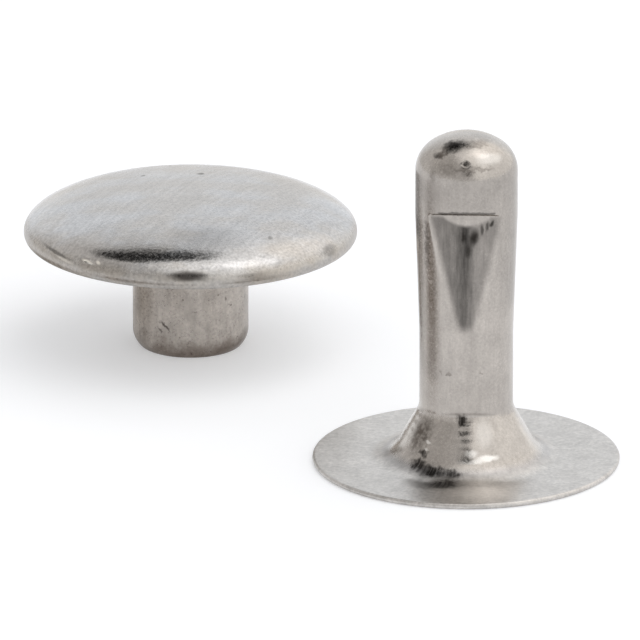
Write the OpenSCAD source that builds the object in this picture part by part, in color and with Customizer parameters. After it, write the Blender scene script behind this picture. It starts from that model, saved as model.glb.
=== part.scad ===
// Two-piece cap-and-post rivet, drawn from thin nickel-plated steel sheet.
// The post and the cap stand side by side, as they come before they are snapped together.

/* [Post] */
// Width of the post's flat base across its rim
base_d = 8.66; // [7:0.02:11]
// Thickness of the sheet that the post is drawn from
post_sheet = 0.16; // [0.12:0.01:0.2]
// Height of the post from its base to the top of its tip
post_h = 9.7; // [8.6:0.1:14]
// Diameter of the straight shank above the flare
shank_d = 2.64; // [2.4:0.02:2.76]
// Diameter of the tip, a little fatter than the shank so that it snaps home
tip_d = 2.88; // [2.8:0.02:3.2]
// Height at which the shank starts to widen towards the tip
taper_start = 3.9; // [3.4:0.1:4.6]
// Length of the part of the shank that widens
taper_len = 3.45; // [2.6:0.05:3.6]
// Height of the rounded end of the tip
tip_rise = 1.1; // [1:0.02:1.16]
// Radius of the tip's rounded shoulder
tip_corner = 0.95; // [0.8:0.01:0.97]

/* [Flare] */
// Height at which the shank starts to open into the base
flare_h = 1.8; // [1.5:0.05:2.4]
// Lean of the flare's straight stretch from upright
flare_lean = 30; // [20:1:40]
// Bend radius between the shank and the flare
neck_r = 0.8; // [0.4:0.05:1]
// Bend radius between the flare and the base
foot_r = 0.65; // [0.4:0.05:0.9]

/* [Pinch] */
// Height of the ledge at the top of each pinched flat
pinch_top = 7.62; // [7:0.02:7.8]
// Length of each pinched flat
pinch_len = 3.5; // [2.6:0.05:4]
// Depth of each pinched flat at its ledge
pinch_depth = 0.42; // [0.25:0.01:0.5]
// Bulge of each pinched flat half way down its length
pinch_bow = 0.04; // [0.01:0.005:0.05]
// Rise of the ledge from the flat to the skin of the post
ledge_rise = 19; // [8:1:30]
// Turn of the pinches about the post's axis
pinch_turn = 3; // [0:1:90]

/* [Cap] */
// Width of the domed cap across its rim
cap_d = 9.5; // [8:0.05:12]
// Thickness of the sheet that the domed shell is pressed from
shell_sheet = 0.16; // [0.12:0.01:0.2]
// Height of the dome above its widest circle
dome_rise = 1.15; // [0.9:0.05:1.6]
// Radius of the dome's shoulder
dome_corner = 0.58; // [0.4:0.01:0.7]
// Radius of the bend that turns the shell's edge under
hem_r = 0.2; // [0.2:0.01:0.3]
// Width of the hem folded flat under the rim
hem_w = 0.85; // [0.7:0.05:1.4]

/* [Socket] */
// Thickness of the sheet that the socket is drawn from
socket_sheet = 0.18; // [0.12:0.01:0.24]
// Length of the socket's tube below the hem
tube_len = 3.12; // [2.4:0.02:4.5]
// Bend radius between the tube and its flange
root_r = 0.2; // [0.1:0.02:0.4]
// Radius of the tube's end where it is rolled in
nose_r = 0.65; // [0.5:0.01:0.75]
// Width of the flat lip that the rolled-in end leaves
lip_w = 0.08; // [0.04:0.01:0.12]

/* [Fits] */
// Gap all round between the tip and the inside of the tube
tip_gap = 0.03; // [0.02:0.01:0.1]
// Gap all round between the shank and the rolled-in mouth
mouth_gap = 0.05; // [0.02:0.01:0.1]
// Gap all round between the flange's edge and the inside of the shell
flange_gap = 0.05; // [0.03:0.01:0.2]

/* [Layout] */
// Distance from the post's axis to the cap's, across
apart_x = 7.8; // [7:0.1:14]
// Distance from the post's axis to the cap's, from front to back
apart_y = 10.3; // [8:0.1:16]

/* [Hidden] */
$fn = 96;
// A shallow arc is a small part of a wide circle, so it takes more facets
shallow_fn = 720;

// How far a cutting shape runs past what it cuts
over = 0.5;

base_r = base_d / 2;
shank_r = shank_d / 2;
tip_r = tip_d / 2;
cap_r = cap_d / 2;

// The widening stretch ends where the tip's straight collar starts
taper_end = taper_start + taper_len;
tip_z = post_h - tip_rise;

// Each bend is an arc round a centre outside the metal, and the flare's straight stretch is
// tangent to both arcs
neck_centre = [shank_r + neck_r, flare_h];
neck_end = neck_centre - neck_r * [cos(flare_lean), sin(flare_lean)];
foot_start_z = post_sheet + foot_r * (1 - sin(flare_lean));
foot_start_x = neck_end.x + (neck_end.y - foot_start_z) * tan(flare_lean);
foot_centre = [foot_start_x + foot_r * cos(flare_lean), post_sheet + foot_r];

// The pinched flat runs from its ledge down and out to the skin of the post, in an arc that
// bulges a little
pinch_foot_z = pinch_top - pinch_len;
pinch_head = [tip_r - pinch_depth, pinch_top];
pinch_foot = [shank_r + (tip_r - shank_r) * max(0, pinch_foot_z - taper_start) / taper_len,
              pinch_foot_z];
pinch_chord = norm(pinch_head - pinch_foot);
pinch_out = [pinch_len, pinch_foot.x - pinch_head.x] / pinch_chord;
pinch_r = (pow(pinch_chord / 2, 2) + pow(pinch_bow, 2)) / (2 * pinch_bow);
pinch_centre = (pinch_head + pinch_foot) / 2 + (pinch_bow - pinch_r) * pinch_out;

// The tip fits inside the tube, and the shank passes through its rolled-in mouth
tube_in_r = tip_r + tip_gap;
tube_out_r = tube_in_r + socket_sheet;
mouth_r = shank_r + mouth_gap;
nose_centre_r = tube_out_r - nose_r;
nose_z = sqrt(pow(nose_r, 2) - pow(mouth_r + lip_w - nose_centre_r, 2)) - tube_len;

// The socket's flange lies on the hem, inside the shell's rim
flange_r = cap_r - hem_r - flange_gap;

// The two pieces are centred on the origin as a pair
post_x = (apart_x + cap_r - base_r) / 2;
post_y = -(apart_y + cap_r - base_r) / 2;
post_place = [post_x, post_y, 0];
cap_place = [post_x - apart_x, post_y + apart_y, tube_len];

// Radius of a shallow crown that is tangent to a corner arc
function crown_r(half_w, rise, corner) =
    (rise * rise - corner * corner + pow(half_w - corner, 2)) / (2 * (rise - corner));

// Half outline of a dome: a shallow crown arc that runs into a corner arc, over the x axis
module dome_outline(half_w, rise, corner) {
    crown = crown_r(half_w, rise, corner);
    lean = asin((half_w - corner) / (crown - corner));
    crown_centre = [0, rise - crown];
    past = crown + over;
    intersection() {
        union() {
            intersection() {
                translate(crown_centre) circle(r = crown, $fn = shallow_fn);
                polygon([crown_centre, crown_centre + [-over, past],
                         crown_centre + [past * sin(lean), past],
                         crown_centre + past * [sin(lean), cos(lean)]]);
            }
            translate([half_w - corner, 0]) circle(r = corner);
        }
        square([half_w + over, rise + over]);
    }
}

// The flare's half outline, with its surface set back into the metal by the given amount
module flare_outline(set_back) {
    tangent = [cos(flare_lean), sin(flare_lean)];
    difference() {
        polygon([[0, -over], [0, flare_h], neck_centre, foot_centre, [foot_centre.x, -over]]);
        translate(neck_centre) circle(r = neck_r + set_back);
        translate(foot_centre) circle(r = foot_r + set_back);
        polygon([neck_centre, foot_centre, foot_centre - (foot_r + set_back) * tangent,
                 neck_centre - (neck_r + set_back) * tangent]);
    }
}

// The shank's half outline up to the tip's collar, set back in the same way
module shank_outline(set_back) {
    polygon([[0, flare_h], [shank_r - set_back, flare_h], [shank_r - set_back, taper_start],
             [tip_r - set_back, taper_end], [tip_r - set_back, tip_z], [0, tip_z]]);
}

module stem_outline(set_back) {
    flare_outline(set_back);
    shank_outline(set_back);
    translate([0, tip_z])
        dome_outline(tip_r - set_back, tip_rise - set_back, tip_corner - set_back);
}

// Half section of the post's wall: base, flare, shank and closed tip in one thickness
module post_wall() {
    rim_r = post_sheet / 2;
    difference() {
        union() {
            intersection() {
                stem_outline(0);
                square([base_r, post_h + over]);
            }
            square([base_r - rim_r, post_sheet]);
            translate([base_r - rim_r, rim_r]) circle(r = rim_r);
        }
        stem_outline(post_sheet);
    }
}

// What the punch presses in on the front of the post, grown by a wall thickness or by nothing:
// all that is outside the bulging floor and under the ledge that rises outwards
module pinch(grow) {
    reach = tip_r + over;
    ledge_run = [1, tan(ledge_rise)];
    ledge_start = pinch_head - grow * [sin(ledge_rise), -cos(ledge_rise)];
    low = pinch_foot.y - over;
    rotate([90, 0, -90])
        linear_extrude(height = 2 * reach, center = true)
            difference() {
                polygon([ledge_start - pinch_head.x * ledge_run, ledge_start + reach * ledge_run,
                         [pinch_head.x + reach, low], [0, low]]);
                translate(pinch_centre) circle(r = pinch_r - grow, $fn = shallow_fn);
            }
}

// The same punch mark on the front and on the back
module both_pinches(grow) {
    for (turn = [0, 180])
        rotate([0, 0, turn - pinch_turn])
            pinch(grow);
}

module post() {
    color("lightgray")
        translate(post_place)
            difference() {
                union() {
                    rotate_extrude() post_wall();
                    intersection() {
                        rotate_extrude() shank_outline(post_sheet / 2);
                        both_pinches(post_sheet);
                    }
                }
                both_pinches(0);
            }
}

// Half outline of the closed shell over the hem's underside, set back in the same way
module shell_outline(set_back) {
    translate([0, hem_r])
        dome_outline(cap_r - set_back, dome_rise - set_back, dome_corner - set_back);
    translate([0, set_back]) square([cap_r - hem_r, hem_r]);
    translate([cap_r - hem_r, hem_r]) circle(r = hem_r - set_back);
}

module cap_shell() {
    color("gainsboro")
        translate(cap_place)
            rotate_extrude()
                difference() {
                    shell_outline(0);
                    shell_outline(shell_sheet);
                    translate([0, -over]) square([cap_r - hem_w, over + shell_sheet + hem_r]);
                }
}

// Half outline of the socket's tube and of what lies over its flange's underside, set back in
// the same way; the fillet between them bends round a centre outside the metal
module socket_outline(set_back) {
    root_centre = [tube_out_r + root_r, shell_sheet - root_r];
    difference() {
        translate([0, root_centre.y])
            square([root_centre.x, root_r + set_back + over]);
        translate(root_centre) circle(r = root_r + set_back);
    }
    translate([0, nose_z]) square([tube_out_r - set_back, root_centre.y - nose_z]);
    intersection() {
        translate([nose_centre_r, nose_z]) circle(r = nose_r - set_back);
        translate([0, nose_z - nose_r]) square([tube_out_r, nose_r]);
    }
    translate([0, nose_z - nose_r + set_back]) square([nose_centre_r, nose_r]);
}

module cap_socket() {
    flange_top = shell_sheet + socket_sheet;
    color("silver")
        translate(cap_place)
            rotate_extrude()
                difference() {
                    union() {
                        intersection() {
                            socket_outline(0);
                            translate([0, -tube_len]) square([flange_r, tube_len + flange_top]);
                        }
                        translate([tube_out_r + root_r, shell_sheet])
                            square([flange_r - tube_out_r - root_r, socket_sheet]);
                    }
                    socket_outline(socket_sheet);
                    translate([0, -tube_len - over]) square([mouth_r, tube_len]);
                }
}

post();
cap_shell();
cap_socket();
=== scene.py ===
# A snap rivet of nickel-plated steel: a hollow pinched post and a domed cap, standing apart on a
# white floor. Everything is in metres, so a size in millimetres is written times mm.

import math

import bpy
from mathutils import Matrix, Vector


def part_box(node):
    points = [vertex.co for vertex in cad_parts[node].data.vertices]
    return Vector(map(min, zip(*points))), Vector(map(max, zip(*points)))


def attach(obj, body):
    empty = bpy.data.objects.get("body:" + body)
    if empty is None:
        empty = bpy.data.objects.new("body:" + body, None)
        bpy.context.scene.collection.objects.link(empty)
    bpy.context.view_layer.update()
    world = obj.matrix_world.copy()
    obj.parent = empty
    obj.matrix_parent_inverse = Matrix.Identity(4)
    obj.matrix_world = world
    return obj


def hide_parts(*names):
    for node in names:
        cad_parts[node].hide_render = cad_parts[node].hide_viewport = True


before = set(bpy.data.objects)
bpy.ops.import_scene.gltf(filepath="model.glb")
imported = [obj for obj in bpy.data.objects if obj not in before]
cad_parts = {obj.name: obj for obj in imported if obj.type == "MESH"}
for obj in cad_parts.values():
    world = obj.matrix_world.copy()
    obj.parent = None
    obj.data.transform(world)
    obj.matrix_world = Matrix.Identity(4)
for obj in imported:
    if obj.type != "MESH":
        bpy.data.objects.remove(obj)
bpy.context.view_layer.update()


# Camera: a long lens, 19 degrees above the floor, which shows the round base and the cap as
# ellipses of the photo's height. Both halves are seen from the front, the post nearer.
mm = 0.001
camera_elevation = math.radians(18.8)
camera_distance = 756 * mm
camera_lens = 1500
frame_rise = 2.2 * mm

toward_camera = Vector((0, -math.cos(camera_elevation), math.sin(camera_elevation)))
image_up = Vector((0, math.sin(camera_elevation), math.cos(camera_elevation)))
camera_data = bpy.data.cameras.new("camera")
camera_data.lens = camera_lens
camera = bpy.data.objects.new("camera", camera_data)
bpy.context.scene.collection.objects.link(camera)
camera.location = toward_camera * camera_distance + image_up * frame_rise
camera.rotation_mode = "QUATERNION"
camera.rotation_quaternion = (-toward_camera).to_track_quat("-Z", "Y")
bpy.context.scene.camera = camera
bpy.context.scene.view_settings.view_transform = "Standard"


# Floor: a sheet of white card. It takes the soft shadow of both pieces, shows as white as the
# backdrop, to the eye and in the metal alike, and is clear from below, where the pieces show.
floor_reach = 400 * mm
floor_glow = 0.33


def linear(hex_colour):
    """An sRGB colour, written as six hex digits, as the linear colour that a shader takes."""
    channels = [int(hex_colour[i:i + 2], 16) / 255 for i in (0, 2, 4)]
    return [c / 12.92 if c <= 0.04045 else ((c + 0.055) / 1.055) ** 2.4 for c in channels] + [1]


def add(tree, kind, links=None, **settings):
    """Adds a node. links gives its sockets a value, or a node or socket to be joined to."""
    node = tree.nodes.new(kind)
    for name, value in settings.items():
        setattr(node, name, value)
    for socket, value in (links or {}).items():
        if isinstance(value, bpy.types.Node):
            value = value.outputs[0]
        if isinstance(value, bpy.types.NodeSocket):
            tree.links.new(value, node.inputs[socket])
        else:
            node.inputs[socket].default_value = value
    return node


def shown_mesh(name, points, edges, faces, material):
    """Makes an object from points, edges and faces, and puts it in the scene."""
    mesh = bpy.data.meshes.new(name)
    mesh.from_pydata(points, edges, faces)
    if material:
        mesh.materials.append(material)
    piece = bpy.data.objects.new(name, mesh)
    bpy.context.scene.collection.objects.link(piece)
    return piece


white_card = bpy.data.materials.new("white_card")
white_card.use_nodes = True
tree = white_card.node_tree
tree.nodes.clear()
ray = add(tree, "ShaderNodeLightPath").outputs
direct = add(tree, "ShaderNodeMath", {0: ray["Is Camera Ray"], 1: ray["Is Glossy Ray"]},
             operation="MAXIMUM")
direct = add(tree, "ShaderNodeMath", {0: direct, 1: ray["Is Transmission Ray"]},
             operation="MAXIMUM")
strength = add(tree, "ShaderNodeMath", {0: direct, 1: floor_glow}, operation="MULTIPLY")
card = add(tree, "ShaderNodeBsdfDiffuse", {"Color": linear("dddfe3")})
glow = add(tree, "ShaderNodeEmission", {"Strength": strength})
both = add(tree, "ShaderNodeAddShader", {0: card, 1: glow})
from_below = add(tree, "ShaderNodeNewGeometry").outputs["Backfacing"]
clear = add(tree, "ShaderNodeBsdfTransparent")
both = add(tree, "ShaderNodeMixShader", {0: from_below, 1: both, 2: clear})
add(tree, "ShaderNodeOutputMaterial", {"Surface": both})
corners = [(x * floor_reach, y * floor_reach, 0) for x, y in ((-1, -1), (1, -1), (1, 1), (-1, 1))]
floor = shown_mesh("floor", corners, [], [(0, 1, 2, 3)], white_card)


# Studio: a pale room whose light is soft all round: dim on the left, bright on the right, cool
# behind. Lamps hang high on the right. Dark cards hang high behind and in front, and the camera
# is dark too, which gives the metal its black glints.
room_light = (0.8, 0.79, 0.78, 1)
black_card = (0.02, 0.02, 0.02, 1)
# Each patch of the room: its middle in degrees from the front round to the right and in degrees
# up, how far from there it begins and ends to fade, in degrees, and its light
studio_patches = {
    "left wall": (-68, 40, 14, 44, (0.6, 0.585, 0.57, 1)),
    "right wall": (85, 34, 57, 76, (1.27, 1.26, 1.24, 1)),
    "backdrop": (180, 18, 3, 44, (1.09, 1.125, 1.165, 1)),
    "foot of the backdrop": (180, 0, 3, 15, (1, 0.98, 0.95, 1)),
    "glow round the lamp": (100, 62, 12, 40, (1.33, 1.31, 1.28, 1)),
    "lamp": (105, 69, 4, 17, (2.08, 2.04, 2, 1)),
    "low lamp behind": (137, 46, 4, 22, (1.5, 1.46, 1.41, 1)),
    "middle card behind": (191, 63, 6, 13.5, black_card),
    "left card behind": (216, 62.5, 6, 13.5, black_card),
    "camera": (3, 23, 5, 13, (0.18, 0.17, 0.16, 1)),
    "card over the camera": (-1, 49, 6, 12, black_card)}
world = bpy.data.worlds.new("studio")
bpy.context.scene.world = world
world.use_nodes = True
tree = world.node_tree
tree.nodes.clear()
direction = add(tree, "ShaderNodeTexCoord").outputs["Generated"]
room = room_light
for azimuth, elevation, inner, outer, colour in studio_patches.values():
    a, e = math.radians(azimuth), math.radians(elevation)
    middle = (math.sin(a) * math.cos(e), -math.cos(a) * math.cos(e), math.sin(e))
    facing = add(tree, "ShaderNodeVectorMath", {0: direction, 1: middle}, operation="DOT_PRODUCT")
    share = add(tree, "ShaderNodeMapRange",
                {"Value": facing.outputs["Value"], "From Min": math.cos(math.radians(outer)),
                 "From Max": math.cos(math.radians(inner))}, interpolation_type="SMOOTHSTEP")
    room = add(tree, "ShaderNodeMixRGB", {"Fac": share, "Color1": room, "Color2": colour})
background = add(tree, "ShaderNodeBackground", {"Color": room})
add(tree, "ShaderNodeOutputWorld", {"Surface": background})


# Flags: grey cards with soft edges, which lie on the floor left of the post and of the cap. They
# are painted shadows, standing for the shadows that the pieces cast to their left on the floor.
# Only their mirror image shows, as a dimmer left side to the metal.


def spot(tree, place, at, reach, turn=0, soft=0.7):
    """A mask that fades out over an oval round a point.

    Its sizes are in mm, it is turned in the front view by degrees, and soft is the share of
    its reach that it fades over.
    """
    apart = add(tree, "ShaderNodeVectorMath", {0: place, 1: at}, operation="SUBTRACT")
    level = add(tree, "ShaderNodeVectorRotate", {"Vector": apart, "Angle": math.radians(turn)},
                rotation_type="Y_AXIS")
    share = add(tree, "ShaderNodeVectorMath", {0: level, 1: reach}, operation="DIVIDE")
    far = add(tree, "ShaderNodeVectorMath", {0: share}, operation="LENGTH").outputs["Value"]
    return add(tree, "ShaderNodeMapRange", {"Value": far, "From Min": 1, "From Max": 1 - soft},
               interpolation_type="SMOOTHSTEP")


def flag(name, middle, reach, colour):
    """An oval flag: its middle and its half sizes in mm, of which the one across it is 0."""
    card = bpy.data.materials.new(name)
    card.use_nodes = True
    tree = card.node_tree
    tree.nodes.clear()
    place = add(tree, "ShaderNodeTexCoord").outputs["Object"]
    place = add(tree, "ShaderNodeVectorMath", {0: place, "Scale": 1 / mm}, operation="SCALE")
    # 1 stands in for the half size of 0, because the mask divides by each of them
    dark = spot(tree, place, middle, [r or 1 for r in reach], soft=0.75)
    clear = add(tree, "ShaderNodeBsdfTransparent")
    shade = add(tree, "ShaderNodeEmission", {"Color": linear(colour)})
    both = add(tree, "ShaderNodeMixShader", {0: dark, 1: clear, 2: shade})
    add(tree, "ShaderNodeOutputMaterial", {"Surface": both})
    across = [i for i in range(3) if reach[i]]
    corners = []
    for sides in ((-1, -1), (1, -1), (1, 1), (-1, 1)):
        corner = list(middle)
        for i, side in zip(across, sides):
            corner[i] += side * reach[i]
        corners.append([c * mm for c in corner])
    piece = shown_mesh(name, corners, [], [(0, 1, 2, 3)], card)
    piece.visible_camera = False
    piece.visible_diffuse = False
    piece.visible_transmission = False
    piece.visible_shadow = False


# Painted shadows of the post and of the cap, seen only in the metal
flag("post_side_flag", (-12.5, -5.7, 0.05), (12, 7.5, 0), "988f88")
flag("cap_side_flag", (-11.5, 6, 0.06), (7, 6, 0), "aea8a2")


# Post: one piece drawn from 0.16 mm steel sheet, a thin round base, a flared foot and a hollow
# shank that ends in a closed tip. A punch pinches it flat on the front and the back, under a
# ledge. It is nickel plated over the drawing marks.
post_low, post_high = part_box("post")
post_axis = Vector(((post_low.x + post_high.x) / 2, (post_low.y + post_high.y) / 2, 0))
post_h = post_high.z
base_r = (post_high.x - post_low.x) / 2
post_sheet = 0.16 * mm
shank_r = 1.32 * mm
tip_r = 1.44 * mm
taper_start = 3.9 * mm
taper_end = 7.35 * mm
tip_rise = 1.1 * mm
tip_corner = 0.95 * mm
flare_h = 1.8 * mm
flare_lean = 30
neck_r = 0.65 * mm
foot_r = 1.0 * mm
pinch_low = 2.5 * mm
pinch_top = 7.62 * mm
close_above = 0.28 * mm
close_below = 0.12 * mm
pinch_len = 3.5 * mm
pinch_depth = 0.42 * mm
pinch_bow = 0.04 * mm
ledge_rise = math.radians(19)
pinch_turn = math.radians(3)
flat_crown = 4 * mm
edge_round = 0.05 * mm
corner_round = 0.25 * mm


def arc(centre, radius, start, end, steps):
    """Points on an arc of an outline, in (radius, height), between two angles in degrees."""
    angles = [math.radians(start + (end - start) * i / steps) for i in range(steps + 1)]
    return [(centre[0] + radius * math.cos(a), centre[1] + radius * math.sin(a)) for a in angles]


def straight(start, end, steps):
    """Points on a straight stretch of an outline."""
    return [(start[0] + (end[0] - start[0]) * i / steps, start[1] + (end[1] - start[1]) * i / steps)
            for i in range(steps + 1)]


def node_group(name, sizes):
    """A Geometry Nodes group that takes a geometry and named sizes: its tree and its inputs."""
    tree = bpy.data.node_groups.new(name, "GeometryNodeTree")
    tree.interface.new_socket("Geometry", in_out="INPUT", socket_type="NodeSocketGeometry")
    for label, kind in sizes.items():
        tree.interface.new_socket(label, in_out="INPUT", socket_type="NodeSocket" + kind)
    tree.interface.new_socket("Material", in_out="INPUT", socket_type="NodeSocketMaterial")
    tree.interface.new_socket("Geometry", in_out="OUTPUT", socket_type="NodeSocketGeometry")
    return tree, add(tree, "NodeGroupInput").outputs


def finish_group(tree, geometry, material):
    """Ends a group: instances made real, shaded smooth, and given its material."""
    real = add(tree, "GeometryNodeRealizeInstances", {"Geometry": geometry})
    smooth = add(tree, "GeometryNodeSetShadeSmooth", {"Geometry": real})
    coated = add(tree, "GeometryNodeSetMaterial", {"Geometry": smooth, "Material": material})
    add(tree, "NodeGroupOutput", {"Geometry": coated})


def run_group(piece, tree, **values):
    """Runs a group on a piece with the given sizes, and keeps its result as a plain mesh."""
    modifier = piece.modifiers.new(tree.name, "NODES")
    modifier.node_group = tree
    for item in tree.interface.items_tree:
        label = item.name.lower().replace(" ", "_")
        if item.in_out == "INPUT" and label in values:
            modifier[item.identifier] = values[label]
    shaped = piece.evaluated_get(bpy.context.evaluated_depsgraph_get())
    piece.data = bpy.data.meshes.new_from_object(shaped)
    piece.modifiers.clear()


# The lathe group turns an outline round an upright axis: a grid with one column per step, whose
# points take radius and height from the outline's points in order. Points that fall together at
# the seam and on the axis are merged.
same_place = 0.0001 * mm
lathe, given = node_group("lathe", {"Steps Round": "Int", "Axis": "Vector"})
count = add(lathe, "GeometryNodeAttributeDomainSize", {"Geometry": given["Geometry"]})
columns = add(lathe, "ShaderNodeMath", {0: given["Steps Round"], 1: 1}, operation="ADD")
grid = add(lathe, "GeometryNodeMeshGrid", {"Vertices X": columns, "Vertices Y": count})
index = add(lathe, "GeometryNodeInputIndex")
column = add(lathe, "ShaderNodeMath", {0: index, 1: count}, operation="DIVIDE")
column = add(lathe, "ShaderNodeMath", {0: column}, operation="FLOOR")
row = add(lathe, "ShaderNodeMath", {0: index, 1: count}, operation="MODULO")
place = add(lathe, "GeometryNodeInputPosition")
from_outline = add(lathe, "GeometryNodeSampleIndex",
                   {"Geometry": given["Geometry"], "Value": place, "Index": row},
                   data_type="FLOAT_VECTOR")
turn = add(lathe, "ShaderNodeMath", {0: column, 1: given["Steps Round"]}, operation="DIVIDE")
turn = add(lathe, "ShaderNodeMath", {0: turn, 1: math.tau}, operation="MULTIPLY")
carried = add(lathe, "ShaderNodeVectorRotate", {"Vector": from_outline, "Angle": turn},
              rotation_type="Z_AXIS")
at_axis = add(lathe, "ShaderNodeVectorMath", {0: carried, 1: given["Axis"]}, operation="ADD")
mark = add(lathe, "GeometryNodeInputNamedAttribute", {"Name": "set_back"}, data_type="FLOAT")
mark_there = add(lathe, "GeometryNodeSampleIndex",
                 {"Geometry": given["Geometry"], "Value": mark, "Index": row}, data_type="FLOAT")
marked = add(lathe, "GeometryNodeStoreNamedAttribute",
             {"Geometry": grid, "Name": "set_back", "Value": mark_there}, data_type="FLOAT")
turned = add(lathe, "GeometryNodeSetPosition", {"Geometry": marked, "Position": at_axis})
closed = add(lathe, "GeometryNodeMergeByDistance", {"Geometry": turned, "Distance": same_place})
finish_group(lathe, closed, given["Material"])


def outline_piece(name, outer, inner, sheet):
    """An outline as a line of points. set_back is 0 on its outer skin and the sheet inside."""
    points = [(r, 0, z) for r, z in outer + inner]
    piece = shown_mesh(name, points, [(i, i + 1) for i in range(len(points) - 1)], [], None)
    marks = piece.data.attributes.new("set_back", "FLOAT", "POINT")
    marks.data.foreach_set("value", [0] * len(outer) + [sheet] * len(inner))
    return piece


def dome_angles(half_w, rise, corner):
    """Crown radius of a shallow dome, and the lean in degrees at which its corner arc starts."""
    crown = (rise ** 2 - corner ** 2 + (half_w - corner) ** 2) / (2 * (rise - corner))
    return crown, math.degrees(math.asin((half_w - corner) / (crown - corner)))


def stem(set_back, steps):
    """Outline of the post's skin from the middle of its tip down to the foot of its flare.

    Its points lie close together round the ledge. The second value is where the foot ends.
    """
    crown, lean = dome_angles(tip_r, tip_rise, tip_corner)
    tip_z = post_h - tip_rise
    neck_centre = (shank_r + neck_r, flare_h)
    neck_end = [c - neck_r * f(math.radians(flare_lean))
                for c, f in zip(neck_centre, (math.cos, math.sin))]
    foot_start_z = post_sheet + foot_r * (1 - math.sin(math.radians(flare_lean)))
    foot_start_x = neck_end[0] + (neck_end[1] - foot_start_z) * math.tan(math.radians(flare_lean))
    foot_centre = (foot_start_x + foot_r * math.cos(math.radians(flare_lean)), post_sheet + foot_r)
    tip_side, shank_side = tip_r - set_back, shank_r - set_back
    close_start, close_end = pinch_top + close_above, pinch_top - close_below
    return (arc((0, post_h - crown), crown - set_back, 90, 90 - lean, steps)
            + arc((tip_r - tip_corner, tip_z), tip_corner - set_back, 90 - lean, 0, steps)[1:]
            + straight((tip_side, tip_z), (tip_side, close_start), steps // 3)[1:]
            + straight((tip_side, close_start), (tip_side, close_end), steps)[1:]
            + straight((tip_side, close_end), (tip_side, taper_end), steps // 6)[1:]
            + straight((tip_side, taper_end), (shank_side, taper_start), 2 * steps)[1:]
            + straight((shank_side, taper_start), (shank_side, flare_h), steps // 3)[1:]
            + arc(neck_centre, neck_r + set_back, 180, 180 + flare_lean, steps // 2)[1:]
            + arc(foot_centre, foot_r + set_back, 180 + flare_lean, 270, steps)), foot_centre[0]


outer_stem, foot_end = stem(0, 24)
inner_stem, _ = stem(post_sheet, 6)
rim_r = post_sheet / 2
outer = (outer_stem + straight((foot_end, post_sheet), (base_r - rim_r, post_sheet), 16)[1:]
         + arc((base_r - rim_r, rim_r), rim_r, 90, -90, 14)[1:]
         + straight((base_r - rim_r, 0), (foot_end, 0), 6)[1:])
post = outline_piece("post_skin", outer, inner_stem[::-1][1:], post_sheet)

# The pinch group presses what lies outside the punched flats back on to them, on the front and
# on the back alike, and rounds the edges that the punch leaves. Along its length a flat is a
# shallow bow, and what lies below the given height is left as it is.
pinch, given = node_group("pinch", {
    "Axis": "Vector", "Turn": "Float", "Low": "Float", "Top": "Float", "Head": "Float",
    "Bow Radius": "Float", "Bow Centre": "Vector", "Ledge Rise": "Float", "Skin": "Float",
    "Flat Crown": "Float", "Edge Round": "Float", "Corner Round": "Float"})
place = add(pinch, "GeometryNodeInputPosition")
from_axis = add(pinch, "ShaderNodeVectorMath", {0: place, 1: given["Axis"]}, operation="SUBTRACT")
faced = add(pinch, "ShaderNodeVectorRotate", {"Vector": from_axis, "Angle": given["Turn"]},
            rotation_type="Z_AXIS")
at = add(pinch, "ShaderNodeSeparateXYZ", {0: faced}).outputs
set_back = add(pinch, "GeometryNodeInputNamedAttribute", {"Name": "set_back"}, data_type="FLOAT")
depth = add(pinch, "ShaderNodeMath", {0: at["Y"]}, operation="ABSOLUTE")
bow = add(pinch, "ShaderNodeMath", {0: given["Bow Radius"], 1: set_back}, operation="SUBTRACT")
bow = add(pinch, "ShaderNodeMath", {0: bow, 1: 2}, operation="POWER")
bow_at = add(pinch, "ShaderNodeSeparateXYZ", {0: given["Bow Centre"]}).outputs
height = add(pinch, "ShaderNodeMath", {0: at["Z"], 1: bow_at["Z"]}, operation="SUBTRACT")
height = add(pinch, "ShaderNodeMath", {0: height, 1: 2}, operation="POWER")
flat = add(pinch, "ShaderNodeMath", {0: bow, 1: height}, operation="SUBTRACT")
flat = add(pinch, "ShaderNodeMath", {0: flat}, operation="SQRT")
flat = add(pinch, "ShaderNodeMath", {0: flat, 1: bow_at["X"]}, operation="ADD")
# Across its width the flat springs back into a slight crown, which ends at the flat's edges
edge = add(pinch, "ShaderNodeMath", {0: given["Skin"], 1: set_back}, operation="SUBTRACT")
edge = add(pinch, "ShaderNodeMath", {0: edge, 1: 2}, operation="POWER")
flat_2 = add(pinch, "ShaderNodeMath", {0: flat, 1: 2}, operation="POWER")
aside_2 = add(pinch, "ShaderNodeMath", {0: at["X"], 1: 2}, operation="POWER")
crown = add(pinch, "ShaderNodeMath", {0: edge, 1: flat_2}, operation="SUBTRACT")
crown = add(pinch, "ShaderNodeMath", {0: crown, 1: aside_2}, operation="SUBTRACT")
crown = add(pinch, "ShaderNodeMath", {0: crown, 1: given["Flat Crown"]}, operation="DIVIDE")
crown = add(pinch, "ShaderNodeMath", {0: crown, 1: 0.5}, operation="MULTIPLY")
crown = add(pinch, "ShaderNodeMath", {0: crown, 1: 0}, operation="MAXIMUM")
flat = add(pinch, "ShaderNodeMath", {0: flat, 1: crown}, operation="ADD")
sine = add(pinch, "ShaderNodeMath", {0: given["Ledge Rise"]}, operation="SINE")
cosine = add(pinch, "ShaderNodeMath", {0: given["Ledge Rise"]}, operation="COSINE")
tangent = add(pinch, "ShaderNodeMath", {0: given["Ledge Rise"]}, operation="TANGENT")
ledge_in = add(pinch, "ShaderNodeMath", {0: set_back, 1: sine}, operation="MULTIPLY")
ledge_up = add(pinch, "ShaderNodeMath", {0: set_back, 1: cosine}, operation="MULTIPLY")
over = add(pinch, "ShaderNodeMath", {0: at["Z"], 1: given["Top"]}, operation="SUBTRACT")
over = add(pinch, "ShaderNodeMath", {0: over, 1: ledge_up}, operation="SUBTRACT")
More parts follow.
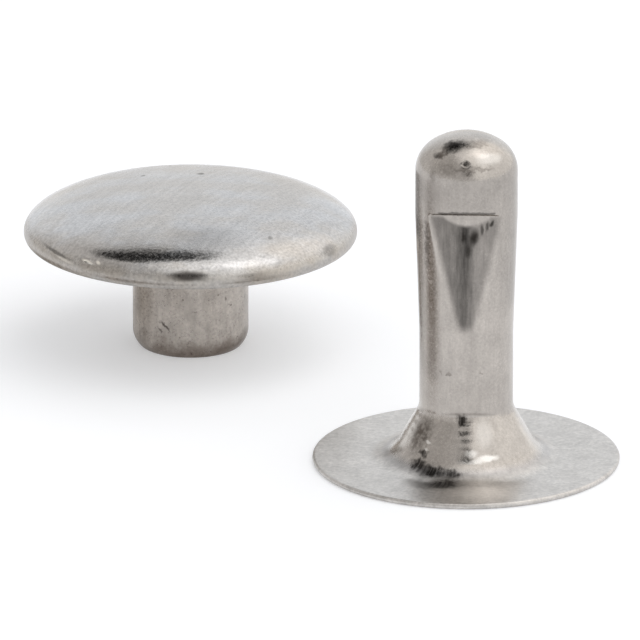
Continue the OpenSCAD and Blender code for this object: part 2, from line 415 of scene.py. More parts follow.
over = add(pinch, "ShaderNodeMath", {0: over, 1: tangent}, operation="DIVIDE")
ledge = add(pinch, "ShaderNodeMath", {0: given["Head"], 1: ledge_in}, operation="SUBTRACT")
ledge = add(pinch, "ShaderNodeMath", {0: ledge, 1: over}, operation="ADD")
limit = add(pinch, "ShaderNodeMath", {0: flat, 1: ledge, 2: given["Corner Round"]},
            operation="SMOOTH_MAX")
pressed = add(pinch, "ShaderNodeMath", {0: depth, 1: limit, 2: given["Edge Round"]},
              operation="SMOOTH_MIN")
side = add(pinch, "ShaderNodeMath", {0: at["Y"]}, operation="SIGN")
pressed = add(pinch, "ShaderNodeMath", {0: pressed, 1: side}, operation="MULTIPLY")
moved = add(pinch, "ShaderNodeCombineXYZ", {"X": at["X"], "Y": pressed, "Z": at["Z"]})
back = add(pinch, "ShaderNodeVectorRotate", {"Vector": moved, "Angle": given["Turn"]},
           rotation_type="Z_AXIS", invert=True)
back = add(pinch, "ShaderNodeVectorMath", {0: back, 1: given["Axis"]}, operation="ADD")
above = add(pinch, "FunctionNodeCompare", {0: at["Z"], 1: given["Low"]}, data_type="FLOAT",
            operation="GREATER_THAN")
pinched = add(pinch, "GeometryNodeSetPosition",
              {"Geometry": given["Geometry"], "Selection": above, "Position": back})
finish_group(pinch, pinched, given["Material"])

pinch_foot_z = pinch_top - pinch_len
head = Vector((tip_r - pinch_depth, pinch_top))
foot = Vector((shank_r + (tip_r - shank_r) * (pinch_foot_z - taper_start)
               / (taper_end - taper_start), pinch_foot_z))
chord = (head - foot).length
outward = Vector((pinch_len, foot.x - head.x)) / chord
bow_r = ((chord / 2) ** 2 + pinch_bow ** 2) / (2 * pinch_bow)
bow_centre = (head + foot) / 2 + (pinch_bow - bow_r) * outward

post_plate = bpy.data.materials.new("drawn_nickel_plate")
run_group(post, lathe, steps_round=360, axis=post_axis, material=post_plate)
run_group(post, pinch, axis=post_axis, turn=pinch_turn, low=pinch_low, top=pinch_top,
          head=head.x, bow_radius=bow_r, bow_centre=Vector((bow_centre.x, 0, bow_centre.y)),
          ledge_rise=ledge_rise, skin=tip_r, flat_crown=flat_crown, edge_round=edge_round,
          corner_round=corner_round, material=post_plate)
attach(post, "root")
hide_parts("post")

# The post's finish is bright nickel plate over drawn steel. It mirrors the room in clear upright
# bands, broken by a fine grain, faint drawing lines and clouds of thin tarnish. Its coordinates
# are mm from the piece's axis, so a noise's scale is its features to a millimetre. The real
# grain is finer than a render can show, and is drawn 1/15 mm wide. Nearly all of a noise lies
# between 0.3 and 0.7.
most_noise = {"From Min": 0.3, "From Max": 0.7}
black_marks_and_shade = "262320"
brown_tarnish_and_shade = "40362d"


def start_plate(material, axis):
    """Starts a plated metal: its tree, its shader, and coordinates in mm from a piece's axis."""
    material.use_nodes = True
    tree = material.node_tree
    shader = tree.nodes["Principled BSDF"]
    shader.inputs["Metallic"].default_value = 1
    coordinates = add(tree, "ShaderNodeTexCoord").outputs["Object"]
    place = add(tree, "ShaderNodeMapping",
                {"Vector": coordinates, "Location": -axis / mm, "Scale": (1 / mm,) * 3})
    return tree, shader, place


def toned(tree, colour, *noises):
    """Varies a colour by noises, each given with its darkest and its brightest tone."""
    for noise, dark, bright in noises:
        tone = add(tree, "ShaderNodeMapRange",
                   {"Value": noise, **most_noise, "To Min": dark, "To Max": bright})
        colour = add(tree, "ShaderNodeMixRGB", {"Fac": 1, "Color1": colour, "Color2": tone},
                     blend_type="MULTIPLY")
    return colour


def wander_noise(tree, place, scale):
    """A noise as a short step to any side, by which coordinates wander to make ragged edges."""
    noise = add(tree, "ShaderNodeTexNoise", {"Vector": place, "Scale": scale, "Detail": 3})
    return add(tree, "ShaderNodeVectorMath", {0: noise.outputs["Color"], 1: (0.5, 0.5, 0.5)},
               operation="SUBTRACT")


def lay_marks(tree, colour, tint, place, marks, breaks=None):
    """Lays soft oval marks of one tint over a colour, thinned by a mask that breaks them up.

    A mark is its middle and its reach, both in mm, its turn in the front view and its strength.
    """
    for middle, reach, turn, strength in marks:
        mark = spot(tree, place, middle, reach, turn)
        mark = add(tree, "ShaderNodeMath", {0: mark, 1: strength}, operation="MULTIPLY")
        if breaks:
            mark = add(tree, "ShaderNodeMath", {0: mark, 1: breaks}, operation="MULTIPLY")
        colour = add(tree, "ShaderNodeMixRGB",
                     {"Fac": mark, "Color1": colour, "Color2": linear(tint)})
    return colour


def finish_plate(tree, shader, colour, roughness, *layers):
    """Joins up a plate's colour, roughness and bump. A layer is a height and its rise in mm."""
    below = {}
    for height, rise in layers:
        bump = add(tree, "ShaderNodeBump", {"Height": height, "Distance": rise * mm, **below})
        below = {"Normal": bump}
    for label, node in (("Base Color", colour), ("Roughness", roughness), ("Normal", bump)):
        tree.links.new(node.outputs[0], shader.inputs[label])


tree, shader, place = start_plate(post_plate, post_axis)
at = add(tree, "ShaderNodeSeparateXYZ", {0: place}).outputs
level = add(tree, "ShaderNodeVectorMath", {0: place, 1: (1, 1, 0)}, operation="MULTIPLY")
radius = add(tree, "ShaderNodeVectorMath", {0: level}, operation="LENGTH").outputs["Value"]
around = add(tree, "ShaderNodeVectorMath", {0: level}, operation="NORMALIZE")
grain = add(tree, "ShaderNodeTexNoise", {"Vector": place, "Scale": 15, "Detail": 3})
cloud = add(tree, "ShaderNodeTexNoise", {"Vector": place, "Scale": 1.5, "Detail": 4})
drawn = add(tree, "ShaderNodeVectorMath", {0: place, 1: (1, 1, 0.09)}, operation="MULTIPLY")
lines = add(tree, "ShaderNodeTexNoise", {"Vector": drawn, "Scale": 8, "Detail": 3})
colour = toned(tree, linear("b6b0aa"),
               (grain, 0.9, 1.1), (cloud, 0.9, 1.08), (lines, 0.94, 1.05))

# Marks have more or less ragged edges: their coordinates wander far or little with a noise
wander = wander_noise(tree, place, 7)
ragged = add(tree, "ShaderNodeVectorMath", {0: wander, 1: (0.3, 0.3, 0.3), 2: place},
             operation="MULTIPLY_ADD")
neat = add(tree, "ShaderNodeVectorMath", {0: wander, 1: (0.1, 0.1, 0.1), 2: place},
           operation="MULTIPLY_ADD")

# The punched flats are darker than the skin, in a wedge that widens upwards and ends short of a
# bright crescent under the ledge. This is partly the punch's duller finish and partly a painted
# reflection: they are darkest down their middle, a painted reflection of the dark camera in
# front, and paler to the right, painted light from the brighter right of the room.
wedge_middle = -0.02
wedge_spread = 0.245
wedge_inset = 0.83
crescent_bend = 0.55
crescent_z = 7.34
crescent_top = 7.59
aside = add(tree, "ShaderNodeMath", {0: at["X"], 1: wedge_middle}, operation="SUBTRACT")
aside = add(tree, "ShaderNodeMath", {0: aside}, operation="ABSOLUTE")
half = add(tree, "ShaderNodeMath", {0: at["Z"], 1: wedge_spread, 2: -wedge_inset},
           operation="MULTIPLY_ADD")
flat = add(tree, "ShaderNodeMath", {0: half, 1: aside}, operation="SUBTRACT")
flat = add(tree, "ShaderNodeMapRange", {"Value": flat, "From Min": -0.09, "From Max": 0.15},
           interpolation_type="SMOOTHSTEP")
crescent = add(tree, "ShaderNodeMath", {0: at["X"], 1: 2}, operation="POWER")
crescent = add(tree, "ShaderNodeMath", {0: crescent, 1: crescent_bend, 2: crescent_z},
               operation="MULTIPLY_ADD")
crescent = add(tree, "ShaderNodeMath", {0: crescent, 1: crescent_top}, operation="MINIMUM")
below = add(tree, "ShaderNodeMath", {0: crescent, 1: at["Z"]}, operation="SUBTRACT")
below = add(tree, "ShaderNodeMapRange", {"Value": below, "From Min": -0.06, "From Max": 0.09},
            interpolation_type="SMOOTHSTEP")
above = add(tree, "ShaderNodeMapRange", {"Value": at["Z"], "From Min": 4.1, "From Max": 4.5},
            interpolation_type="SMOOTHSTEP")
flat = add(tree, "ShaderNodeMath", {0: flat, 1: below}, operation="MULTIPLY")
flat = add(tree, "ShaderNodeMath", {0: flat, 1: above}, operation="MULTIPLY")
dull_and_shade = add(tree, "ShaderNodeMapRange", {"Value": at["X"], "From Min": -0.2, "From Max": 0.35,
                                        "To Min": 0.57, "To Max": 0.38},
           interpolation_type="SMOOTHSTEP")
middle = add(tree, "ShaderNodeMapRange", {"Value": aside, "From Min": 0.34, "From Max": 0,
                                          "To Max": 0.3}, interpolation_type="SMOOTHSTEP")
upper = add(tree, "ShaderNodeMapRange", {"Value": at["Z"], "From Min": 5.4, "From Max": 6.5,
                                         "To Min": 0.5})
middle = add(tree, "ShaderNodeMath", {0: middle, 1: upper}, operation="MULTIPLY")
dull_and_shade = add(tree, "ShaderNodeMath", {0: dull_and_shade, 1: middle}, operation="ADD")
brushed = add(tree, "ShaderNodeVectorMath", {0: place, 1: (1, 1, 0.14)}, operation="MULTIPLY")
brushed = add(tree, "ShaderNodeTexNoise", {"Vector": brushed, "Scale": 12, "Detail": 4})
streaks = add(tree, "ShaderNodeMapRange",
              {"Value": brushed, **most_noise, "To Min": -0.08, "To Max": 0.08})
dull_and_shade = add(tree, "ShaderNodeMath", {0: dull_and_shade, 1: streaks}, operation="ADD")
dull_and_shade = add(tree, "ShaderNodeMath", {0: dull_and_shade, 1: flat}, operation="MULTIPLY")
# The shank's top and the tip's lower part are up to a seventh darker all round
collar_darkening = spot(tree, place, (0, 0, 8.3), (4, 4, 1.1), soft=0.6)
collar_darkening = add(tree, "ShaderNodeMath", {0: collar_darkening, 1: 0.14}, operation="MULTIPLY")
dull_and_shade = add(tree, "ShaderNodeMath", {0: dull_and_shade, 1: collar_darkening}, operation="MAXIMUM")
bright = add(tree, "ShaderNodeMath", {0: 1, 1: dull_and_shade}, operation="SUBTRACT")
colour = add(tree, "ShaderNodeMixRGB", {"Fac": 1, "Color1": colour, "Color2": bright},
             blend_type="MULTIPLY")

# Black scrapes at the top of the front flat, and short nicks that fan out at their right
colour = lay_marks(tree, colour, black_marks_and_shade, neat, (
    ((-0.09, -1.05, 7.0), (0.09, 0.5, 0.25), 0, 0.85),
    ((0.2, -1.05, 6.98), (0.21, 0.5, 0.37), -12, 0.95),
    ((0.05, -1.05, 6.6), (0.15, 0.5, 0.3), 0, 0.7),
    ((0.43, -1.05, 7.21), (0.075, 0.5, 0.24), 0, 0.7),
    ((0.58, -1.05, 7.32), (0.075, 0.5, 0.2), -12, 0.7),
    ((0.71, -1.05, 7.38), (0.085, 0.5, 0.16), -23, 0.85)))

# Painted shade: a dark line along the lower edge of the front ledge, which slopes with the
# ledge, where the ledge's rounded edge turns down over the flat
ledge_shade_lift = 0.018
edge_z = (pinch_top - head.x * math.tan(ledge_rise)) / mm + ledge_shade_lift
ledge_shade_at = add(tree, "ShaderNodeSeparateXYZ", {0: neat}).outputs
ledge_shade = add(tree, "ShaderNodeMath", {0: ledge_shade_at["Y"], 1: math.tan(ledge_rise),
                                    2: ledge_shade_at["Z"]}, operation="MULTIPLY_ADD")
ledge_shade = add(tree, "ShaderNodeMath", {0: ledge_shade, 1: edge_z}, operation="SUBTRACT")
ledge_shade = add(tree, "ShaderNodeMath", {0: ledge_shade}, operation="ABSOLUTE")
ledge_shade = add(tree, "ShaderNodeMapRange", {"Value": ledge_shade, "From Min": 0.055, "From Max": 0.02,
                                        "To Max": 0.6}, interpolation_type="SMOOTHSTEP")
on_edge = spot(tree, place, (0, -1.35, 7.8), (0.88, 0.8, 0.5), soft=0.1)
ledge_shade = add(tree, "ShaderNodeMath", {0: ledge_shade, 1: on_edge}, operation="MULTIPLY")
colour = add(tree, "ShaderNodeMixRGB", {"Fac": ledge_shade, "Color1": colour,
                                        "Color2": linear(black_marks_and_shade)})

# Drawing ripples ring the flare, 0.21 mm apart
ripple_pitch = 0.21
ripple_start = 1.8
rings = add(tree, "ShaderNodeMath", {0: at["Z"], 1: math.tau / ripple_pitch, 2: ripple_start},
            operation="MULTIPLY_ADD")
rings = add(tree, "ShaderNodeMath", {0: rings, 1: wander}, operation="ADD")
rings = add(tree, "ShaderNodeMath", {0: rings}, operation="SINE")
on_flare = add(tree, "ShaderNodeMapRange", {"Value": at["Z"], "From Min": 1.75, "From Max": 1.5},
               interpolation_type="SMOOTHSTEP")
off_base = add(tree, "ShaderNodeMapRange", {"Value": at["Z"], "From Min": 0.7, "From Max": 1.3},
               interpolation_type="SMOOTHSTEP")
on_flare = add(tree, "ShaderNodeMath", {0: on_flare, 1: off_base}, operation="MULTIPLY")
ripple = add(tree, "ShaderNodeMath", {0: rings, 1: on_flare}, operation="MULTIPLY")

# The base is paler and cooler than the shank, with fine rays that run out over it and the
# mottling of the tools that pressed it flat
out_by_radius = add(tree, "ShaderNodeCombineXYZ", {"X": 0, "Y": 0, "Z": radius})
rays = add(tree, "ShaderNodeVectorMath", {0: around, 1: (36, 36, 0), 2: out_by_radius},
           operation="MULTIPLY_ADD")
rays = add(tree, "ShaderNodeTexNoise", {"Vector": rays, "Scale": 1, "Detail": 3})
pressed = add(tree, "ShaderNodeTexNoise", {"Vector": place, "Scale": 7, "Detail": 5,
                                           "Roughness": 0.7})
base_tone = toned(tree, linear("f7fbff"), (rays, 1.23, 1.31), (pressed, 0.86, 1.14))
on_base = add(tree, "ShaderNodeMapRange", {"Value": at["Z"], "From Min": 0.5, "From Max": 0.2},
              interpolation_type="SMOOTHSTEP")
base_tone = add(tree, "ShaderNodeMixRGB", {"Fac": on_base, "Color1": linear("ffffff"),
                                           "Color2": base_tone})
colour = add(tree, "ShaderNodeMixRGB", {"Fac": 1, "Color1": colour, "Color2": base_tone},
             blend_type="MULTIPLY")

# Black marks, combed by the rays, on the flare, at its foot and beyond it, and on the tip. They
# are painted reflections: of the dark camera on the flare's front, of the dim left of the room
# at the foot, and of the dark card behind on the tip.
combed = add(tree, "ShaderNodeMapRange", {"Value": rays, "From Min": 0.36, "From Max": 0.52,
                                          "To Min": 0.72})
colour = lay_marks(tree, colour, black_marks_and_shade, ragged, (
    ((-1.2, -1.4, 0.68), (0.17, 0.5, 0.15), 0, 0.9),
    ((-1.32, -1.62, 0.4), (0.44, 0.45, 0.2), 0, 0.97),
    ((-0.9, -1.95, 0.3), (0.62, 0.42, 0.26), 0, 0.97),
    ((-0.4, -2.1, 0.27), (0.4, 0.34, 0.2), 0, 0.9),
    ((-0.65, -2.62, 0.16), (0.62, 0.5, 0.3), 0, 0.93),
    ((-1.15, -2.75, 0.16), (0.5, 0.42, 0.3), 0, 0.4),
    ((-1.5, -2.3, 0.16), (0.4, 0.3, 0.3), 0, 0.3),
    ((-0.13, -1.35, 1.62), (0.2, 0.5, 0.23), 0, 0.97),
    ((-0.14, -1.5, 1.26), (0.13, 0.5, 0.06), 0, 0.7),
    ((-0.38, -0.6, 9.5), (0.42, 0.29, 0.25), 0, 0.97),
    ((-0.85, -0.85, 9.28), (0.19, 0.3, 0.12), 0, 0.75)), combed)

# Painted shade: the shank's upper right is a shade darker
shade = spot(tree, place, (1.25, -0.5, 6.3), (0.75, 1.4, 2.2))
shade = add(tree, "ShaderNodeMath", {0: shade, 1: 0.8}, operation="MULTIPLY")
colour = add(tree, "ShaderNodeMixRGB", {"Fac": shade, "Color1": colour,
                                        "Color2": linear("e7e7e7")}, blend_type="MULTIPLY")

# Brown marks with broken edges: on the flare's left, down the shank's left, round the tip, and
# three flecks low on the shank. The flecks are stains. The rest are painted shade and painted
# reflections: of the dim left of the room on the flare and the tip's left, of the post's shadow
# on the floor down the shank, and of the dark card behind on the tip, round its highlight.
patchy = add(tree, "ShaderNodeMapRange", {"Value": wander, "From Min": -0.08, "From Max": 0.04,
                                          "To Min": 0.5})
colour = lay_marks(tree, colour, brown_tarnish_and_shade, ragged, (
    ((-1.3, -1.05, 1.14), (0.4, 0.9, 0.76), -28, 0.76),
    ((-1.3, -1.1, 1.2), (0.26, 0.6, 0.45), -28, 0.3),
    ((-1.1, -0.8, 6.7), (0.13, 0.4, 1.1), 0, 0.55),
    ((-0.95, -0.95, 8.75), (0.12, 0.4, 0.2), 0, 0.35),
    ((-0.95, -0.95, 8.15), (0.6, 0.7, 0.8), 0, 0.15),
    ((-0.45, -1.15, 9.0), (0.5, 0.5, 0.28), 0, 0.3),
    ((-0.66, -0.8, 9.35), (0.13, 0.4, 0.26), -55, 0.75),
    ((0.2, -1.3, 9.04), (0.8, 0.6, 0.09), 0, 0.5),
    ((0.35, -0.65, 9.58), (0.5, 0.5, 0.14), 0, 0.45),
    ((-0.5, -1.2, 2.95), (0.09, 0.3, 0.06), 0, 0.5),
    ((-0.75, -1.1, 3.0), (0.08, 0.3, 0.05), 0, 0.35),
    ((0.42, -1.25, 2.98), (0.08, 0.3, 0.05), 0, 0.35)), patchy)

# Painted shade: the foot's last turn on to the base is darker than the flare above it
low = add(tree, "ShaderNodeMapRange", {"Value": at["Z"], "From Min": 0.5, "From Max": 0.3},
          interpolation_type="SMOOTHSTEP")
inside = add(tree, "ShaderNodeMapRange", {"Value": radius, "From Min": 2.5, "From Max": 2.2},
             interpolation_type="SMOOTHSTEP")
low = add(tree, "ShaderNodeMath", {0: low, 1: inside}, operation="MULTIPLY")
colour = add(tree, "ShaderNodeMixRGB", {"Fac": low, "Color1": colour,
                                        "Color2": linear("e2e3e6")}, blend_type="MULTIPLY")

# Painted shade: a faint dark line round the front of the neck, in the crease where the flare was
# set out from the shank. It sinks towards the sides, and is kept off the foot.
neck_bend = 0.16
neck = add(tree, "ShaderNodeMath", {0: at["X"], 1: at["X"]}, operation="MULTIPLY")
neck = add(tree, "ShaderNodeMath", {0: neck, 1: neck_bend, 2: at["Z"]}, operation="MULTIPLY_ADD")
neck = add(tree, "ShaderNodeMath", {0: neck, 1: flare_h / mm}, operation="SUBTRACT")
neck = add(tree, "ShaderNodeMath", {0: neck}, operation="ABSOLUTE")
neck = add(tree, "ShaderNodeMapRange", {"Value": neck, "From Min": 0.07, "From Max": 0,
                                        "To Max": 0.3}, interpolation_type="SMOOTHSTEP")
front = add(tree, "ShaderNodeMapRange", {"Value": at["Y"], "From Min": -1, "From Max": -1.25},
            interpolation_type="SMOOTHSTEP")
neck = add(tree, "ShaderNodeMath", {0: neck, 1: front}, operation="MULTIPLY")
above_foot = add(tree, "ShaderNodeMath", {0: at["Z"], 1: 1}, operation="GREATER_THAN")
neck = add(tree, "ShaderNodeMath", {0: neck, 1: above_foot}, operation="MULTIPLY")
colour = add(tree, "ShaderNodeMixRGB", {"Fac": neck, "Color1": colour,
                                        "Color2": linear(brown_tarnish_and_shade)})

# Painted highlights: light spots beside the stains, a crescent on the flare's foot, both sides of
# the flare, the tip's right, and a painted reflection on the base in front
colour = lay_marks(tree, colour, "edeae6", neat, (
    ((-1.0, -0.85, 5.6), (0.07, 0.3, 0.09), 0, 0.7),
    ((-1.06, -1.35, 0.97), (0.1, 0.4, 0.06), 0, 0.9),
    ((-1.14, -1.6, 0.8), (0.09, 0.4, 0.06), 0, 0.95),
    ((0.15, -1.85, 0.58), (0.5, 0.5, 0.09), 0, 0.75),
    ((0.6, -1.8, 0.65), (0.45, 0.5, 0.11), 0, 0.95),
    ((0.14, -1.75, 0.78), (0.24, 0.5, 0.14), 0, 0.75),
    ((0.5, -1.45, 1.25), (0.35, 0.6, 0.55), 0, 0.25),
    ((-1.74, 0, 1.0), (0.38, 1.6, 1.15), -28, 0.9),
    ((1.78, 0.1, 1.0), (0.3, 1.6, 1.1), 28, 0.45),
    ((0.62, -0.95, 9.24), (0.6, 0.5, 0.19), 0, 0.42),
    ((0.35, -3.3, 0.16), (1.2, 0.7, 0.3), 0, 0.3)))

# A shallow crease across the base's front, with a band of painted shade before it, and a pit on
# the tip, a small dent painted dark as its shade
crease_ends = add(tree, "ShaderNodeMath", {0: at["X"]}, operation="ABSOLUTE")
crease_ends = add(tree, "ShaderNodeMapRange", {"Value": crease_ends, "From Min": 2.1,
                                               "From Max": 1.4}, interpolation_type="SMOOTHSTEP")
step = add(tree, "ShaderNodeMapRange", {"Value": at["Y"], "From Min": -2.44, "From Max": -2.32},
           interpolation_type="SMOOTHSTEP")
step = add(tree, "ShaderNodeMath", {0: step, 1: crease_ends}, operation="MULTIPLY")
crease_shade = add(tree, "ShaderNodeMapRange", {"Value": at["Y"], "From Min": -2.95, "From Max": -2.5},
           interpolation_type="SMOOTHSTEP")
before = add(tree, "ShaderNodeMapRange", {"Value": at["Y"], "From Min": -2.3, "From Max": -2.4},
             interpolation_type="SMOOTHSTEP")
for share in (before, crease_ends, 0.14):
    crease_shade = add(tree, "ShaderNodeMath", {0: crease_shade, 1: share}, operation="MULTIPLY")
colour = add(tree, "ShaderNodeMixRGB", {"Fac": crease_shade, "Color1": colour,
                                        "Color2": linear("4a4541")})
pit = spot(tree, neat, (-0.04, -1.24, 9.17), (0.15, 0.4, 0.1))
pit_shade = add(tree, "ShaderNodeMath", {0: pit, 1: 0.8}, operation="MULTIPLY")
colour = add(tree, "ShaderNodeMixRGB", {"Fac": pit_shade, "Color1": colour,
                                        "Color2": linear("2a2724")})

# Gloss: bright on the shank and the tip, and satin on the base, which blurs what it mirrors
gloss = add(tree, "ShaderNodeMapRange",
            {"Value": grain, **most_noise, "To Min": 0.16, "To Max": 0.28})
satin = add(tree, "ShaderNodeMath", {0: on_base, 1: 0.15, 2: gloss}, operation="MULTIPLY_ADD")
finish_plate(tree, shader, colour, satin, (grain, 0.0012), (lines, 0.001), (cloud, 0.012),
             (ripple, 0.0026), (step, 0.006), (pit, -0.02))


# Cap shell: the domed cover, pressed from 0.16 mm steel sheet with its edge folded under as a
# hem. The crown is satin from tumbling, and the rim is glossier where the die rolled it in.
shell_low, shell_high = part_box("cap_shell")
cap_axis = Vector(((shell_low.x + shell_high.x) / 2, (shell_low.y + shell_high.y) / 2,
                   shell_low.z))
cap_r = (shell_high.x - shell_low.x) / 2
shell_sheet = 0.16 * mm
dome_rise = 1.15 * mm
dome_power = 2.15
hem_r = 0.2 * mm
hem_w = 0.85 * mm


def dome(half_w, rise, steps):
    """A dome's outline whose shoulder tightens steadily towards its rim: a superellipse."""
    angles = [math.radians(90 * i / steps) for i in range(steps + 1)]
    return [(half_w * math.sin(a) ** (2 / dome_power),
             hem_r + rise * math.cos(a) ** (2 / dome_power)) for a in angles]


outer = (dome(cap_r, dome_rise, 110) + arc((cap_r - hem_r, hem_r), hem_r, 0, -90, 12)[1:]
         + straight((cap_r - hem_r, 0), (cap_r - hem_w, 0), 6)[1:])
inner = (straight((cap_r - hem_w, shell_sheet), (cap_r - hem_r, shell_sheet), 4)
         + arc((cap_r - hem_r, hem_r), hem_r - shell_sheet, -90, 0, 4)[1:]
         + dome(cap_r - shell_sheet, dome_rise - shell_sheet, 40)[::-1][1:])
cap = outline_piece("cap_shell_skin", outer, inner, shell_sheet)
shell_plate = bpy.data.materials.new("satin_nickel_plate")
run_group(cap, lathe, steps_round=360, axis=cap_axis, material=shell_plate)
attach(cap, "root")
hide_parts("cap_shell")

# The shell's finish is nickel plate, tumbled to satin. It mirrors the room as broad soft bands,
# mottled and cloudy, with faint strokes running one way.
tree, shader, place = start_plate(shell_plate, cap_axis)
level = add(tree, "ShaderNodeVectorMath", {0: place, 1: (1, 1, 0)}, operation="MULTIPLY")
radius = add(tree, "ShaderNodeVectorMath", {0: level}, operation="LENGTH").outputs["Value"]
at = add(tree, "ShaderNodeSeparateXYZ", {0: place}).outputs
grain = add(tree, "ShaderNodeTexNoise", {"Vector": place, "Scale": 13, "Detail": 4})
drift = add(tree, "ShaderNodeVectorMath", {0: place, 1: (0.55, 1, 1)}, operation="MULTIPLY")
cloud = add(tree, "ShaderNodeTexNoise", {"Vector": drift, "Scale": 0.9, "Detail": 4,
                                         "Roughness": 0.55})
stroke = add(tree, "ShaderNodeMapping", {"Vector": place, "Rotation": (0, 0, 1.1),
                                         "Scale": (3, 0.3, 1)}, vector_type="TEXTURE")
strokes = add(tree, "ShaderNodeTexNoise", {"Vector": stroke, "Scale": 2.2, "Detail": 4})
cool = add(tree, "ShaderNodeMapRange", {"Value": cloud, "From Min": 0.4, "From Max": 0.62},
           interpolation_type="SMOOTHSTEP")
colour = add(tree, "ShaderNodeMixRGB", {"Fac": cool, "Color1": linear("b9b5b1"),
                                        "Color2": linear("b6b5b5")})
colour = toned(tree, colour, (grain, 0.82, 1.18), (cloud, 0.89, 1.07), (strokes, 0.92, 1.07))

# The rolled edge is a shade darker and warmer
edge = add(tree, "ShaderNodeMapRange", {"Value": at["Z"], "From Min": 0.62, "From Max": 0.36},
           interpolation_type="SMOOTHSTEP")
colour = add(tree, "ShaderNodeMixRGB", {"Fac": edge, "Color1": colour,
                                        "Color2": linear("f9f6f1")}, blend_type="MULTIPLY")

# Small dark pits and a soft smudge on the crown, and smudges along the rim. The dark blot on
# the rim's front and the thin dark line along its left are painted reflections. Under that line
# lie painted highlights: a light line, and glints on a small ding in the rim's left.
wander = wander_noise(tree, place, 6)
ragged = add(tree, "ShaderNodeVectorMath", {0: wander, 1: (0.15, 0.15, 0.08), 2: place},
             operation="MULTIPLY_ADD")
colour = lay_marks(tree, colour, "3a3633", ragged, (
    ((0.28, 1.95, 1.25), (0.17, 0.15, 0.3), 0, 0.85),
    ((-1.36, 1.9, 1.2), (0.1, 0.12, 0.3), 0, 0.75),
    ((2.27, -2.9, 1.0), (0.1, 0.14, 0.3), 0, 0.45),
    ((-0.6, 3.3, 1.05), (0.1, 0.1, 0.3), 0, 0.35),
    ((3.95, -2.45, 0.45), (0.36, 0.5, 0.26), 0, 0.42),
    ((0.5, -3.1, 1.03), (1.3, 0.9, 0.5), 0, 0.2),
    ((-0.05, -4.68, 0.43), (0.78, 0.3, 0.19), 0, 0.85),
    ((-3.85, -2.65, 0.47), (0.8, 1.1, 0.06), -6, 0.6),
    ((-2.7, -3.8, 0.66), (0.35, 0.4, 0.07), -8, 0.35)))
colour = lay_marks(tree, colour, "fffaf0", place, (
    ((-3.55, -3.05, 0.37), (0.5, 0.6, 0.05), -8, 0.35),
    ((-2.93, -3.62, 0.5), (0.26, 0.3, 0.06), -8, 0.95),
    ((-2.6, -3.85, 0.53), (0.09, 0.3, 0.06), -8, 0.9)))
ding = spot(tree, place, (-2.83, -3.6, 0.5), (0.26, 0.3, 0.07), -8)

# Gloss: satin over the crown, brighter round the rim, which the die burnished, and blurred
# again where the hem turns under
gloss = add(tree, "ShaderNodeMapRange", {"Value": radius, "From Min": 3.3, "From Max": 4.3,
                                         "To Min": 0.3, "To Max": 0.15},
            interpolation_type="SMOOTHSTEP")
hem_blur = add(tree, "ShaderNodeMapRange", {"Value": at["Z"], "From Min": 0.6, "From Max": 0.35,
                                            "To Max": 0.18}, interpolation_type="SMOOTHSTEP")
gloss = add(tree, "ShaderNodeMath", {0: gloss, 1: hem_blur}, operation="ADD")
gloss_noise = add(tree, "ShaderNodeMath", {0: grain, 1: 0.5}, operation="SUBTRACT")
gloss = add(tree, "ShaderNodeMath", {0: gloss_noise, 1: 0.3, 2: gloss}, operation="MULTIPLY_ADD")
finish_plate(tree, shader, colour, gloss, (grain, 0.002), (cloud, 0.014), (ding, -0.03))


# Cap socket: the piece inside the cap, drawn from 0.18 mm steel sheet. Its flange lies on the
# hem, and its tube, which the post's tip snaps into, is rolled in at the end.
socket_sheet = 0.18 * mm
tube_len = shell_low.z
tube_r = 1.65 * mm
root_r = 0.2 * mm
nose_r = 0.65 * mm
mouth_r = 1.37 * mm
lip_w = 0.08 * mm
flange_r = 4.5 * mm
nose_centre_r = tube_r - nose_r
nose_rise = math.sqrt(nose_r ** 2 - (mouth_r + lip_w - nose_centre_r) ** 2)
nose_z = nose_rise - tube_len
nose_end = -math.degrees(math.asin(nose_rise / nose_r))
bore_end = -math.degrees(math.acos((mouth_r - nose_centre_r) / (nose_r - socket_sheet)))
bore_z = nose_z + (nose_r - socket_sheet) * math.sin(math.radians(bore_end))
root_z = shell_sheet - root_r
flange_z = shell_sheet + socket_sheet
outer = (straight((flange_r, flange_z), (flange_r, shell_sheet), 2)
         + straight((flange_r, shell_sheet), (tube_r + root_r, shell_sheet), 4)[1:]
         + arc((tube_r + root_r, root_z), root_r, 90, 180, 10)[1:]
         + straight((tube_r, root_z), (tube_r, nose_z), 12)[1:]
         + arc((nose_centre_r, nose_z), nose_r, 0, nose_end, 16)[1:]
         + straight((mouth_r + lip_w, -tube_len), (mouth_r, -tube_len), 2)[1:])
inner = (straight((mouth_r, -tube_len), (mouth_r, bore_z), 2)[1:]
         + arc((nose_centre_r, nose_z), nose_r - socket_sheet, bore_end, 0, 10)[1:]
         + straight((tube_r - socket_sheet, nose_z), (tube_r - socket_sheet, root_z), 8)[1:]
         + arc((tube_r + root_r, root_z), root_r + socket_sheet, 180, 90, 8)[1:]
         + straight((tube_r + root_r, flange_z), (flange_r, flange_z), 4)[1:])
socket = outline_piece("cap_socket_skin", outer, inner, socket_sheet)
socket_plate = bpy.data.materials.new("tube_nickel_plate")
run_group(socket, lathe, steps_round=240, axis=cap_axis, material=socket_plate)
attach(socket, "root")
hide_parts("cap_socket")
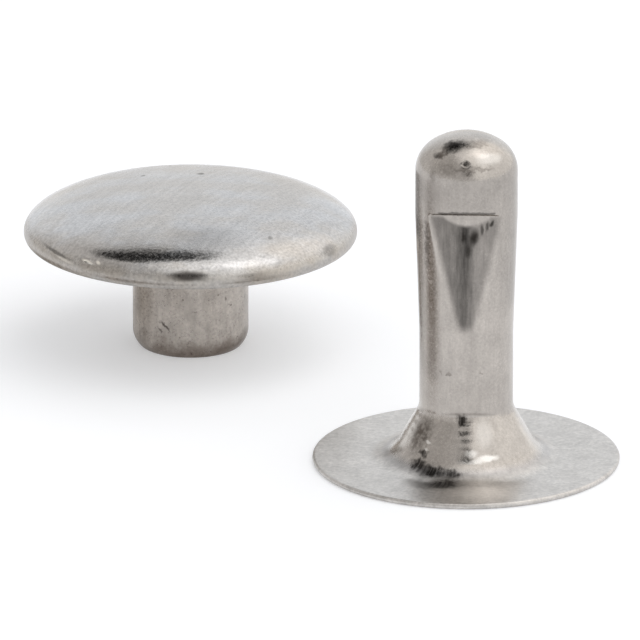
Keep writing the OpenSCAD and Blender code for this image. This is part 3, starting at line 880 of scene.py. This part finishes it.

# The socket's finish is nickel plate over the drawn tube. It is duller, darker and browner than
# the shell's, the darkness partly painted shade for the cap's shadow that the tube mirrors. It is
# streaked down the tube, with specks, and turns dark brown round the mouth: painted shade of the
# shadowed floor that the rolled-in end mirrors.
tree, shader, place = start_plate(socket_plate, cap_axis)
at = add(tree, "ShaderNodeSeparateXYZ", {0: place}).outputs
grain = add(tree, "ShaderNodeTexNoise", {"Vector": place, "Scale": 13, "Detail": 4})
cloud = add(tree, "ShaderNodeTexNoise", {"Vector": place, "Scale": 2.2, "Detail": 4})
drawn = add(tree, "ShaderNodeVectorMath", {0: place, 1: (1, 1, 0.12)}, operation="MULTIPLY")
lines = add(tree, "ShaderNodeTexNoise", {"Vector": drawn, "Scale": 7, "Detail": 3})
colour = toned(tree, linear("b1aaa3"),
               (grain, 0.85, 1.15), (cloud, 0.86, 1.12), (lines, 0.9, 1.08))
# Painted shade: the rolled-in end turns dark brown
low = add(tree, "ShaderNodeMath", {0: cloud, 1: 0.9, 2: at["Z"]}, operation="MULTIPLY_ADD")
low = add(tree, "ShaderNodeMapRange", {"Value": low, "From Min": -1.9, "From Max": -2.65,
                                       "To Max": 0.68}, interpolation_type="SMOOTHSTEP")
colour = add(tree, "ShaderNodeMixRGB", {"Fac": low, "Color1": colour,
                                        "Color2": linear("5c4c40")})
speck = add(tree, "ShaderNodeTexNoise", {"Vector": place, "Scale": 8, "Detail": 2})
speck = add(tree, "ShaderNodeMapRange", {"Value": speck, "From Min": 0.67, "From Max": 0.76,
                                         "To Max": 0.6})
colour = add(tree, "ShaderNodeMixRGB", {"Fac": speck, "Color1": colour,
                                        "Color2": linear("3d332c")})

# Scratches on the tube: two slanting ones at the lower left, and two short ones on the right
wander = wander_noise(tree, place, 7)
ragged = add(tree, "ShaderNodeVectorMath", {0: wander, 1: (0.2, 0.2, 0.2), 2: place},
             operation="MULTIPLY_ADD")
colour = lay_marks(tree, colour, "2d2622", ragged, (
    ((-0.72, -1.5, -2.15), (0.05, 0.5, 0.24), 50, 0.75),
    ((-0.86, -1.45, -2.3), (0.05, 0.5, 0.12), 40, 0.6),
    ((1.14, -1.2, -1.6), (0.07, 0.5, 0.06), 0, 0.6),
    ((1.0, -1.3, -1.4), (0.05, 0.5, 0.08), 0, 0.5)))
gloss = add(tree, "ShaderNodeMapRange",
            {"Value": grain, **most_noise, "To Min": 0.24, "To Max": 0.4})
finish_plate(tree, shader, colour, gloss, (grain, 0.003), (lines, 0.003))
